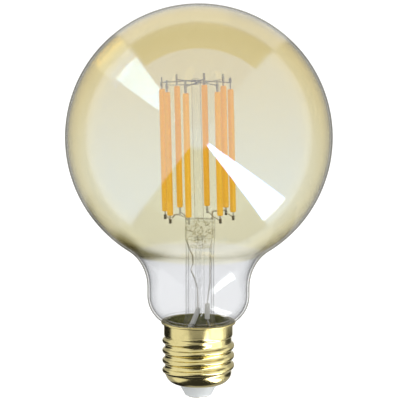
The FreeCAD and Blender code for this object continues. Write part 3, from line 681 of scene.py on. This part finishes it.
class Bench:
    """Small modelling steps that the pieces share."""

    @staticmethod
    def clear() -> None:
        """Leaves edit mode and deselects every object."""
        if bpy.context.object and bpy.context.object.mode != "OBJECT":
            bpy.ops.object.mode_set(mode="OBJECT")
        bpy.ops.object.select_all(action="DESELECT")

    @staticmethod
    def take(piece: bpy.types.Object) -> None:
        """Makes a piece the only selected one.

        Args:
            piece: The piece.
        """
        Bench.clear()
        piece.select_set(True)
        bpy.context.view_layer.objects.active = piece

    @staticmethod
    def settle(piece: bpy.types.Object, name: str) -> bpy.types.Object:
        """Names a piece and moves its place into its mesh.

        Args:
            piece: The finished piece.
            name: Its name in the table.

        Returns:
            The same piece.
        """
        Bench.take(piece)
        bpy.ops.object.transform_apply(location=True, rotation=True, scale=True)
        piece.name = name
        piece.data.name = name
        return piece

    @staticmethod
    def pick(piece: bpy.types.Object, kind: Element, wanted: Callable[..., bool]) -> None:
        """Selects vertices, edges or faces in edit mode by their middle.

        Args:
            piece: The piece in edit mode.
            kind: What is selected.
            wanted: A test of the middle and, for a face, its normal.
        """
        bpy.ops.mesh.select_mode(type=kind.value)
        bpy.ops.mesh.select_all(action="DESELECT")
        shape = bmesh.from_edit_mesh(piece.data)
        parts = {Element.VERT: shape.verts, Element.EDGE: shape.edges, Element.FACE: shape.faces}
        for part in parts[kind]:
            if kind is Element.VERT:
                chosen = wanted(part.co)
            elif kind is Element.EDGE:
                chosen = wanted((part.verts[0].co + part.verts[1].co) / 2)
            else:
                chosen = wanted(part.calc_center_median(), part.normal)
            if chosen:
                part.select_set(True)
        shape.select_flush_mode()
        bmesh.update_edit_mesh(piece.data)

    @staticmethod
    def apply(piece: bpy.types.Object, kind: str, **settings: object) -> None:
        """Adds a modifier, sets it and applies it.

        Args:
            piece: The piece it works on.
            kind: The modifier's type.
            **settings: Its settings by name.
        """
        Bench.take(piece)
        modifier = piece.modifiers.new(kind.title(), kind)
        for name, value in settings.items():
            setattr(modifier, name, value)
        bpy.ops.object.modifier_apply(modifier=modifier.name)

    @staticmethod
    def dress(piece: bpy.types.Object, *finishes: Finish) -> None:
        """Gives a piece its materials, slot by slot.

        Args:
            piece: The piece.
            *finishes: One finish for each slot.
        """
        piece.data.materials.clear()
        for finish in finishes:
            piece.data.materials.append(finish.material())

    @staticmethod
    def cylinder(sides: int, radius: float, length: float) -> bpy.types.Object:
        """Adds an upright cylinder round the origin and leaves it in edit mode.

        Args:
            sides: Its number of sides.
            radius: Its radius, in metres.
            length: Its length, in metres.

        Returns:
            The cylinder.
        """
        Bench.clear()
        bpy.ops.mesh.primitive_cylinder_add(vertices=sides, radius=radius, depth=length,
                                            end_fill_type="NGON", location=(0, 0, 0))
        bpy.ops.object.mode_set(mode="EDIT")
        return bpy.context.object

    @staticmethod
    def open_sphere(segments: int, rings: int, radius: float, centre: Spot,
                    cut: float) -> bpy.types.Object:
        """Adds a sphere, takes off what lies below a height and leaves it in edit mode.

        Args:
            segments: Its number of faces round.
            rings: Its number of faces from pole to pole.
            radius: Its radius, in metres.
            centre: Its centre, in metres.
            cut: The height of the cut, in metres.

        Returns:
            The open sphere.
        """
        Bench.clear()
        bpy.ops.mesh.primitive_uv_sphere_add(segments=segments, ring_count=rings, radius=radius,
                                             location=centre)
        bpy.ops.object.transform_apply(location=True, rotation=False, scale=False)
        bpy.ops.object.mode_set(mode="EDIT")
        bpy.ops.mesh.select_all(action="SELECT")
        bpy.ops.mesh.bisect(plane_co=(0, 0, cut), plane_no=UP, clear_inner=True)
        return bpy.context.object

    @staticmethod
    def cut(height: float) -> None:
        """Cuts a ring into the piece in edit mode, at a height in metres."""
        bpy.ops.mesh.select_all(action="SELECT")
        bpy.ops.mesh.bisect(plane_co=(0, 0, height), plane_no=UP)

    @staticmethod
    def narrow(share: float, centre: Spot) -> None:
        """Scales what is selected sideways, round a centre."""
        bpy.ops.transform.resize(value=(share, share, 1), center_override=centre)

    @staticmethod
    def draw(rise: float, share: float, centre: Spot) -> None:
        """Extrudes the selected edge by a rise in metres and narrows its new ring."""
        bpy.ops.mesh.extrude_region_move(TRANSFORM_OT_translate={"value": (0, 0, rise)})
        Bench.narrow(share, centre)

    @staticmethod
    def copy(pattern: bpy.types.Object, middle: Vector, direction: Vector,
             smooth_under: float) -> bpy.types.Object:
        """Sets a smooth copy of an upright pattern, with its own mesh, at a place.

        Args:
            pattern: The piece that is copied, upright round the origin.
            middle: The copy's middle, in metres.
            direction: The way that its axis points.
            smooth_under: The angle between faces up to which they blend, in degrees.

        Returns:
            The copy.
        """
        made = pattern.copy()
        made.data = pattern.data.copy()
        bpy.context.scene.collection.objects.link(made)
        lean = Vector(UP).rotation_difference(direction).to_matrix().to_4x4()
        made.data.transform(Matrix.Translation(middle) @ lean)
        Bench.take(made)
        bpy.ops.object.shade_smooth_by_angle(angle=math.radians(smooth_under))
        return made

    @staticmethod
    def ends(solid: bpy.types.Object, band: float = 0.0003) -> tuple[Vector, Vector]:
        """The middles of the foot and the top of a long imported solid.

        Args:
            solid: The solid.
            band: How far from its lowest or highest point a corner still counts, in metres.

        Returns:
            The foot and the top.
        """
        corners = [vertex.co for vertex in solid.data.vertices]
        heights = [corner.z for corner in corners]
        found = []
        for level in (min(heights), max(heights)):
            near = [corner for corner in corners if abs(corner.z - level) < band]
            middle = sum(near, Vector()) / len(near)
            found.append(Vector((middle.x, middle.y, level)))
        return found[0], found[1]


@dataclass
class GlobeGlass:
    """The blown globe with its neck, one wall of glass; sizes in millimetres."""

    globe_radius: float = 47.72
    centre_height: float = 94.347
    wall: float = 0.8
    neck_radius: float = 18.4
    blend_radius: float = 17.0
    blend_steps: int = 24
    shoulder_height: float = 37.0
    shoulder_radius: float = 11.0
    shoulder_steps: int = 16
    rim_height: float = 27.9
    rim_sag: Span = (0.02, 0.05)
    seal_radius: float = 11.4
    seal_rounding: Span = (0.25, 0.35)
    seal_bottom: float = 23.6
    segments: int = 160
    rings: int = 90
    edge_reach: float = 0.02
    smooth_under: float = 50.0

    def blend_centre(self) -> tuple[float, float]:
        """Radius of the blend's centre, and its drop below the globe's centre."""
        across = self.neck_radius + self.blend_radius
        return across, math.sqrt((self.globe_radius + self.blend_radius)**2 - across**2)

    def skirt_profile(self) -> list[tuple[float, float]]:
        """Radius and height of each ring below the globe, from its edge down.

        Returns:
            The rings, in millimetres.
        """
        across, drop = self.blend_centre()
        blend_height = self.centre_height - drop
        start = math.atan2(drop, across)
        rings = []
        for step in range(1, self.blend_steps + 1):
            angle = start * (1 - step / self.blend_steps)
            rings.append((across - self.blend_radius * math.cos(angle),
                          blend_height + self.blend_radius * math.sin(angle)))
        rings.append((self.neck_radius, (blend_height + self.shoulder_height) / 2))
        centre = self.neck_radius - self.shoulder_radius
        end = math.asin((self.shoulder_height - self.rim_height) / self.shoulder_radius)
        for step in range(self.shoulder_steps + 1):
            angle = end * step / self.shoulder_steps
            rings.append((centre + self.shoulder_radius * math.cos(angle),
                          self.shoulder_height - self.shoulder_radius * math.sin(angle)))
        last = rings[-1][0]
        middle_sag, seal_sag = self.rim_sag
        corner_across, corner_down = self.seal_rounding
        rings.append(((last + self.seal_radius) / 2, self.rim_height - middle_sag))
        rings.append((self.seal_radius + corner_across, self.rim_height - seal_sag))
        rings.append((self.seal_radius, self.rim_height - corner_down))
        rings.append((self.seal_radius, self.seal_bottom))
        return rings

    def build(self) -> bpy.types.Object:
        """Models the globe from a sphere, cut open and drawn down ring by ring.

        Returns:
            The globe.
        """
        across, drop = self.blend_centre()
        share = self.globe_radius / (self.globe_radius + self.blend_radius)
        radius, height = across * share, self.centre_height - drop * share
        globe = Bench.open_sphere(self.segments, self.rings, self.globe_radius * MM,
                                  (0, 0, self.centre_height * MM), height * MM)
        edge, reach = height * MM, self.edge_reach * MM
        Bench.pick(globe, Element.EDGE, lambda middle: abs(middle.z - edge) < reach)
        for next_radius, next_height in self.skirt_profile():
            Bench.draw((next_height - height) * MM, next_radius / radius, (0, 0, next_height * MM))
            radius, height = next_radius, next_height
        bpy.ops.mesh.select_all(action="SELECT")
        bpy.ops.mesh.remove_doubles(threshold=NEAR)
        bpy.ops.mesh.normals_make_consistent(inside=False)
        bpy.ops.object.mode_set(mode="OBJECT")
        Bench.dress(globe, OUTSIDE_GLASS, COATED_GLASS)
        Bench.apply(globe, "SOLIDIFY", thickness=self.wall * MM, offset=-1.0, use_even_offset=True,
                    material_offset=1, material_offset_rim=0)
        bpy.ops.object.shade_smooth_by_angle(angle=math.radians(self.smooth_under))
        return Bench.settle(globe, "globe_wall")


@dataclass
class LitStrips:
    """Eight silicone-coated strips in a ring round the rod; sizes in millimetres."""

    names: tuple[str, ...] = tuple(f"filament_{number}" for number in range(1, 9))
    radius: float = 1.1
    sides: int = 32
    flat_normal: float = 0.9
    face_insets: Span = (0.22, 0.25)
    corner_share: float = 0.93
    rounding: float = 0.34
    rounding_steps: int = 5
    end_cuts: Span = (1.6, 2.4)
    end_length: float = 1.5
    end_draw: float = 0.955
    smooth_under: float = 40.0

    def build(self) -> list[bpy.types.Object]:
        """Models one strip and sets a copy where each solid stands.

        Returns:
            The strips.
        """
        ends = [Bench.ends(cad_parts[name]) for name in self.names]
        pattern = self.pattern(min((top - foot).length for foot, top in ends))
        strips = []
        for name, (foot, top) in zip(self.names, ends):
            strip = Bench.copy(pattern, (foot + top) / 2, top - foot, self.smooth_under)
            Bench.dress(strip, PHOSPHOR)
            strips.append(Bench.settle(strip, f"lit_strip_{name[-1]}"))
        bpy.data.objects.remove(pattern)
        return strips

    def pattern(self, length: float) -> bpy.types.Object:
        """Models an upright strip round the origin from a cylinder.

        Args:
            length: Its length, in metres.

        Returns:
            The strip.
        """
        half = length / 2
        strip = Bench.cylinder(self.sides, self.radius * MM, length)
        Bench.pick(strip, Element.FACE, lambda middle, normal: abs(normal.z) > self.flat_normal)
        for inset in self.face_insets:
            bpy.ops.mesh.inset(thickness=inset * MM, depth=0.0)
        corner = self.radius * MM * self.corner_share
        Bench.pick(strip, Element.EDGE, lambda middle: abs(abs(middle.z) - half) < NEAR
                   and math.hypot(middle.x, middle.y) > corner)
        bpy.ops.mesh.bevel(offset=self.rounding * MM, segments=self.rounding_steps, affect="EDGES")
        for side in (-1, 1):
            self.draw_in(strip, side, half)
        bpy.ops.object.mode_set(mode="OBJECT")
        return strip

    def draw_in(self, strip: bpy.types.Object, side: int, half: float) -> None:
        """Cuts rings near an end and draws the silicone in a little there.

        Args:
            strip: The strip in edit mode.
            side: -1 for the foot, 1 for the top.
            half: Half the strip's length, in metres.
        """
        for back in self.end_cuts:
            Bench.cut(side * (half - back * MM))
        edge = half - self.end_length * MM
        Bench.pick(strip, Element.VERT, lambda spot: spot.z * side > edge)
        Bench.narrow(self.end_draw, (0, 0, side * half))


@dataclass
class WeldKnots:
    """Crimped beads where the ring wires are welded to the strips' tabs; sizes in millimetres.

    Each tab has the share of its height at which its bead sits.
    """

    tabs: dict[str, float] = field(default_factory=lambda: {
        "filament_1_top_tab": 0.62,
        "filament_8_top_tab": 0.72,
        "filament_4_top_tab": 0.40,
        "filament_5_top_tab": 0.48,
        "filament_6_top_tab": 0.52,
        "filament_7_top_tab": 0.46,
        "filament_1_foot_tab": 0.24,
        "filament_8_foot_tab": 0.20,
        "filament_4_foot_tab": 0.24,
        "filament_5_foot_tab": 0.22,
        "filament_7_foot_tab": 0.26,
    })
    pale_above: float = 90.0
    radius: float = 0.56
    length: float = 1.6
    sides: int = 16
    ribs: int = 4
    waist_share: float = 0.72
    end_share: float = 0.7
    smooth_under: float = 50.0

    def build(self) -> list[bpy.types.Object]:
        """Models one bead and sets a copy on each tab; the upper welds are paler.

        Returns:
            The beads.
        """
        pattern = self.pattern()
        beads = []
        for number, (name, share) in enumerate(self.tabs.items(), 1):
            low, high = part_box(name)
            foot, top = Bench.ends(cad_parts[name])
            slope = (top - foot).normalized()
            spot = (low + high) / 2 + slope * ((share - 0.5) * (high.z - low.z) / slope.z)
            bead = Bench.copy(pattern, spot, slope, self.smooth_under)
            Bench.dress(bead, PALE_WELD if spot.z > self.pale_above * MM else WELD)
            beads.append(Bench.settle(bead, f"weld_knot_{number}"))
        bpy.data.objects.remove(pattern)
        return beads

    def pattern(self) -> bpy.types.Object:
        """Models an upright ribbed bead from a cylinder.

        Returns:
            The bead.
        """
        half = self.length * MM / 2
        bead = Bench.cylinder(self.sides, self.radius * MM, self.length * MM)
        pitch = 2 * half / self.ribs
        for cut in range(1, 2 * self.ribs):
            Bench.cut(cut * pitch / 2 - half)
        for rib in range(1, self.ribs):
            height = rib * pitch - half
            Bench.pick(bead, Element.VERT, lambda spot, level=height: abs(spot.z - level) < NEAR)
            Bench.narrow(self.waist_share, (0, 0, height))
        Bench.pick(bead, Element.VERT, lambda spot: abs(abs(spot.z) - half) < NEAR)
        Bench.narrow(self.end_share, (0, 0, 0))
        bpy.ops.object.mode_set(mode="OBJECT")
        return bead


@dataclass
class PumpBubble:
    """The exhaust tube's blown hole, a drop-shaped bubble in the pinch; sizes in millimetres.

    Each step of the throat is a drop and the share to which its ring narrows.
    """

    radius: float = 1.9
    segments: int = 40
    rings: int = 28
    squash: float = 0.8
    height: float = 57.2
    side: float = 0.5
    neck_radius: float = 0.9
    throat: tuple[Span, ...] = ((0.2, 0.85), (0.3, 0.9))
    smooth_under: float = 60.0

    def build(self) -> bpy.types.Object:
        """Models the bubble from a sphere, cut open below and drawn down to a neck.

        Returns:
            The bubble.
        """
        centre = (self.side * MM, 0, self.height * MM)
        cut = self.height * MM - math.sqrt(self.radius**2 - self.neck_radius**2) * MM
        bubble = Bench.open_sphere(self.segments, self.rings, self.radius * MM, centre, cut)
        Bench.pick(bubble, Element.EDGE, lambda middle: abs(middle.z - cut) < NEAR)
        for drop, share in self.throat:
            Bench.draw(-drop * MM, share, centre)
        bpy.ops.mesh.edge_face_add()
        bpy.ops.mesh.select_all(action="SELECT")
        bpy.ops.transform.resize(value=(1, self.squash, 1), center_override=centre)
        bpy.ops.mesh.normals_make_consistent(inside=False)
        bpy.ops.object.mode_set(mode="OBJECT")
        bpy.ops.object.shade_smooth_by_angle(angle=math.radians(self.smooth_under))
        Bench.dress(bubble, BUBBLE_GLASS)
        return Bench.settle(bubble, "pump_bubble")


@dataclass
class Solids:
    """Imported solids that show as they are, each with its finish."""

    finishes: dict[str, Finish] = field(default_factory=lambda: {
        "stem_flare": STEM_GLASS,
        "exhaust_tube": STEM_GLASS,
        "stem_rod": ROD_GLASS,
        "screw_shell": BRASS,
        "centre_contact": CONTACT,
        "cap_insulator": INSULATOR,
        "basing_cement": CEMENT,
        "circuit_board": BOARD,
        "bridge_rectifier": BLACK,
        "driver_chip": BLACK,
        "filter_capacitor": CAN,
        "fusible_resistor": LACQUER,
        "lead_sleeve_left": GREY_SLEEVE,
        "lead_sleeve_right": WHITE_SLEEVE,
    })

    def dress(self) -> int:
        """Gives every shown solid its finish; wires and tabs are plated wire.

        Returns:
            How many were dressed.
        """
        shown = [name for name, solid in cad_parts.items() if not solid.hide_render]
        for name in shown:
            Bench.dress(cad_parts[name], self.finishes.get(name, WIRE))
        return len(shown)


@dataclass(frozen=True)
class SoftLamp:
    """A square soft lamp that lights the piece and that the glass doesn't mirror; in metres."""

    name: str
    spot: Spot
    width: float
    power: float
    aim: Spot = (0.0, 0.0, 0.08)

    def hang(self) -> None:
        """Hangs the lamp and turns it to its aim."""
        data = bpy.data.lights.new(self.name, "AREA")
        data.shape = "SQUARE"
        data.size = self.width
        data.energy = self.power
        lamp = bpy.data.objects.new(self.name, data)
        bpy.context.scene.collection.objects.link(lamp)
        lamp.location = self.spot
        way = Vector(self.aim) - Vector(self.spot)
        lamp.rotation_euler = way.to_track_quat("-Z", "Y").to_euler()
        lamp.visible_glossy = False
        lamp.visible_camera = False


@dataclass(frozen=True)
class Card:
    """A soft-edged card before the cap, glowing or dark; the coating doesn't mirror it.

    Sizes are in metres. A card that names pieces in only_on adds its light to those alone.
    """

    name: str
    spot: Spot
    size: Span
    level: float
    seen_by: Ray = Ray.GLOSSY
    only_on: tuple[str, ...] = ()
    aim: Spot = (0.0, 0.0, 0.018)

    def stand(self) -> None:
        """Stands the card, turned to its aim."""
        Bench.clear()
        bpy.ops.mesh.primitive_plane_add(size=1.0, location=(0, 0, 0))
        card = bpy.context.object
        card.scale = (*self.size, 1.0)
        way = Vector(self.aim) - Vector(self.spot)
        card.rotation_euler = way.to_track_quat("Z", "Y").to_euler()
        card.location = self.spot
        card.name = self.name
        Bench.dress(card, CardFace(self.name, level=self.level, adds=bool(self.only_on)))
        if self.only_on:
            receivers = bpy.data.collections.new(f"{self.name}_receivers")
            for part in self.only_on:
                receivers.objects.link(bpy.data.objects[part])
            card.light_linking.receiver_collection = receivers
        for kind in ("camera", "glossy", "diffuse", "transmission", "volume_scatter", "shadow"):
            setattr(card, f"visible_{kind}", kind == self.seen_by.name.lower())


@dataclass(frozen=True)
class Panels:
    """How bright the studio is to gloss: white panels, the gaps between them and a beam.

    A turn goes round the line of sight, from the right side upwards. Away goes from the
    camera at 0 to straight behind the lamp at 180. Both are in degrees.
    """

    front_away: Span = (112.0, 118.0)
    behind_away: Span = (158.0, 168.0)
    behind_level: float = 0.45
    top_turn: Window = ((48.0, 52.0), (129.0, 125.0))
    top_gap_away: Window = ((80.0, 83.0), (120.0, 117.0))
    top_gap_level: float = 0.12
    top_behind_away: Span = (117.0, 120.0)
    top_behind_level: float = 0.5
    low_turn: Window = ((-130.0, -126.0), (-50.0, -53.0))
    low_gap_away: Span = (8.0, 14.0)
    low_gap_level: float = 0.04
    beam_turn: Window = ((-52.5, -51.0), (-34.0, -35.5))
    beam_away: Window = ((9.0, 13.0), (105.0, 103.0))
    beam_level: float = 7.0
    ring_level: float = 0.43
    ring_gap_turn: Window = ((-134.0, -129.0), (-100.0, -108.0))
    ring_gap_level: float = 0.02

    def brightness(self, web: Web, axes: tuple[Vector, Vector, Vector]) -> Socket:
        """The brightness in each direction.

        Args:
            web: The world's tree.
            axes: Directions from the lamp to the camera, to its right and up.

        Returns:
            The brightness.
        """
        direction = web.node("ShaderNodeTexCoord").outputs["Generated"]
        toward, aside, over = [web.dot(direction, axis) for axis in axes]
        turn = web.times(web.math("ARCTAN2", over, aside), 180.0 / math.pi)
        away = web.times(web.math("ARCCOSINE", toward), 180.0 / math.pi)
        top = web.window(turn, *self.top_turn)
        top_gap = web.times(top, web.window(away, *self.top_gap_away))
        top_behind = web.times(top, web.step(away, *self.top_behind_away))
        low_gap = web.times(web.window(turn, *self.low_turn), web.step(away, *self.low_gap_away))
        beam = web.times(web.window(turn, *self.beam_turn), web.window(away, *self.beam_away))
        gaps = web.math("MULTIPLY_ADD", top_gap, self.top_gap_level,
                        web.times(low_gap, self.low_gap_level))
        closed = web.rest(web.math("MAXIMUM", top_gap, low_gap))
        ring_gap = web.window(turn, *self.ring_gap_turn)
        ring = web.math("MULTIPLY_ADD", web.rest(ring_gap), self.ring_level, self.ring_gap_level)
        behind = web.step(away, *self.behind_away)
        ring = web.math("MULTIPLY_ADD", behind, self.behind_level, ring)
        front = web.step(away, *self.front_away, 1.0, 0.0)
        level = web.math("ADD", web.times(front, web.math("ADD", closed, gaps)),
                         web.times(web.rest(front), ring))
        level = web.math("MULTIPLY_ADD", top_behind, self.top_behind_level, level)
        return web.math("MULTIPLY_ADD", beam, self.beam_level, level)


@dataclass
class Studio:
    """A pale floor, soft lamps, cards and panels, seen as the photograph's camera saw them."""

    pitch: float = 9.189
    roll: float = 0.17
    distance: float = 0.943
    camera_height: float = 0.2243
    camera_side: float = 0.000466
    lens: float = 240.21
    sensor_width: float = 36.0
    clip: Span = (0.05, 30.0)
    floor_size: float = 8.0
    floor_middle: Spot = (0.0, 1.0, -0.08)
    floor_cuts: int = 4
    lamps: tuple[SoftLamp, ...] = (
        SoftLamp("soft_left", (-0.9, -1.1, 1.0), width=0.9, power=9.0),
        SoftLamp("soft_right", (1.1, -0.6, 0.7), width=0.8, power=6.0),
    )
    cards: tuple[Card, ...] = (
        Card("side_card", (0.12, -0.06, 0.012), (0.13, 0.07), 1.15,
             only_on=("screw_shell", "cap_insulator", "centre_contact")),
        Card("low_card", (0.0, -0.075, 0.022), (0.10, 0.038), 0.42),
        Card("dark_left", (-0.088, 0.062, 0.002), (0.125, 0.07), 0.015),
        Card("dark_right", (0.088, 0.062, -0.015), (0.115, 0.046), 0.04),
        Card("shade_left", (-0.040, -0.025, -0.012), (0.07, 0.06), 0.0, Ray.DIFFUSE),
    )
    panels: Panels = Panels()
    matt_dimming: float = 0.18
    bounces: int = 16
    clear_bounces: int = 32
    glass_bounces: int = 14
    gloss_bounces: int = 6

    def axes(self) -> tuple[Vector, Vector, Vector]:
        """Directions from the lamp to the camera, to its right and up.

        Returns:
            Back, right and up.
        """
        tilt = math.radians(self.pitch)
        back = Vector((0, -math.cos(tilt), math.sin(tilt)))
        return back, Vector((1, 0, 0)), Vector((0, math.sin(tilt), math.cos(tilt)))

    def camera(self) -> None:
        """Sets the camera at the photograph's viewing angle."""
        Bench.clear()
        data = bpy.data.cameras.new("camera")
        camera = bpy.data.objects.new("camera", data)
        bpy.context.scene.collection.objects.link(camera)
        data.lens = self.lens
        data.sensor_width = self.sensor_width
        data.clip_start, data.clip_end = self.clip
        camera.location = (self.camera_side, -self.distance, self.camera_height)
        tilt = Matrix.Rotation(math.radians(90 - self.pitch), 3, "X")
        camera.rotation_euler = (tilt @ Matrix.Rotation(math.radians(self.roll), 3, "Z")).to_euler()
        bpy.context.scene.camera = camera

    def floor(self) -> None:
        """Lays a pale floor well below the lamp."""
        Bench.clear()
        bpy.ops.mesh.primitive_plane_add(size=self.floor_size, location=self.floor_middle)
        floor = bpy.context.object
        bpy.ops.object.mode_set(mode="EDIT")
        bpy.ops.mesh.subdivide(number_cuts=self.floor_cuts)
        bpy.ops.object.mode_set(mode="OBJECT")
        Bench.dress(floor, FloorPaper("floor_paper"))
        floor.name = "floor"
        floor.visible_glossy = False

    def surroundings(self) -> None:
        """White for the camera, soft light for matt pieces, and the panels for gloss."""
        world = bpy.data.worlds.new("studio")
        world.use_nodes = True
        bpy.context.scene.world = world
        web = Web(world.node_tree)
        dimmed = web.rest(web.times(web.ray(Ray.DIFFUSE), self.matt_dimming))
        plain = web.shader(Shader.SKY, Color=WHITE, Strength=dimmed)
        shown = self.panels.brightness(web, self.axes())
        mirrored = web.shader(Shader.SKY, Color=WHITE, Strength=shown)
        mixed = web.mix(web.ray(Ray.GLOSSY), plain, mirrored)
        output = web.tree.nodes.new("ShaderNodeOutputWorld")
        web.tree.links.new(mixed, output.inputs["Surface"])

    def build(self) -> None:
        """Sets up the whole studio."""
        self.camera()
        self.floor()
        for lamp in self.lamps:
            lamp.hang()
        for card in self.cards:
            card.stand()
        self.surroundings()
        scene = bpy.context.scene
        scene.view_settings.view_transform = "Standard"
        scene.cycles.max_bounces = self.bounces
        scene.cycles.transparent_max_bounces = self.clear_bounces
        scene.cycles.transmission_bounces = self.glass_bounces
        scene.cycles.glossy_bounces = self.gloss_bounces


def report(piece: bpy.types.Object) -> None:
    """Logs a finished piece with its number of faces."""
    LOG.info("%s: %d faces", piece.name, len(piece.data.polygons))


def main() -> None:
    """Builds and dresses the lamp, then the studio round it."""
    logging.basicConfig(level=logging.INFO, format="%(message)s")
    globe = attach(GlobeGlass().build(), "root")
    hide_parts("globe_glass")
    report(globe)
    strips = LitStrips()
    for name, strip in zip(strips.names, strips.build()):
        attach(strip, "root")
        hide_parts(name)
        report(strip)
    for bead in WeldKnots().build():
        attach(bead, "root")
        report(bead)
    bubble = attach(PumpBubble().build(), "root")
    report(bubble)
    LOG.info("solids dressed: %d", Solids().dress())
    Studio().build()
    LOG.info("studio ready")


if __name__ == "__main__":
    main()
